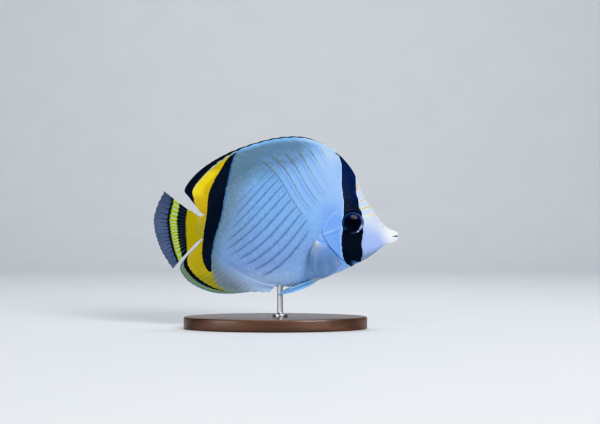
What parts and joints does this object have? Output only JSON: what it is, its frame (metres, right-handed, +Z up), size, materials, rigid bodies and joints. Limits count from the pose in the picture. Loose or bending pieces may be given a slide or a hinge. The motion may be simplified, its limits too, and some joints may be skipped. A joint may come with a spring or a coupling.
{
  "type": "vagabond butterflyfish model on display stand",
  "caption": "Life-size butterflyfish with spread fins and a dark-barred, chevron-lined body, held level on a short rod over an oval base.",
  "frame": {"origin": "centre of the flat underside of the stand's oval base, on the surface that it stands on", "axes": "+X towards the mouth, +Y towards the fish's left flank, +Z up"},
  "size_m": [0.1602, 0.064, 0.1257],
  "materials": {
    "skin": "pale blue-white scales with thin grey chevron lines and navy bars, satin sheen",
    "eye": "dark, with a silver iris edge under a clear, glossy surface",
    "scaled_fin": "yellow with a black band and a thin pale edge, satin",
    "tail_fin": "yellow with two dark bands and a clear grey edge, satin",
    "clear_fin": "clear grey-blue web between fine rays",
    "pale_fin": "pale blue-white web and rays, satin",
    "stand_wood": "dark stained wood, satin lacquer",
    "stand_steel": "brushed"
  },
  "bodies": {
    "root": {"head": "skin", "torso": "skin", "tail_stalk": "skin", "eye_left": "eye", "eye_right": "eye", "dorsal_fin": "scaled_fin", "anal_fin": "scaled_fin", "tail_fin": "tail_fin", "pectoral_fin_left": "clear_fin", "pectoral_fin_right": "clear_fin", "pelvic_fin_left": "pale_fin", "pelvic_fin_right": "pale_fin", "stand_base": "stand_wood", "stand_rod": "stand_steel"}
  },
  "joints": []
}
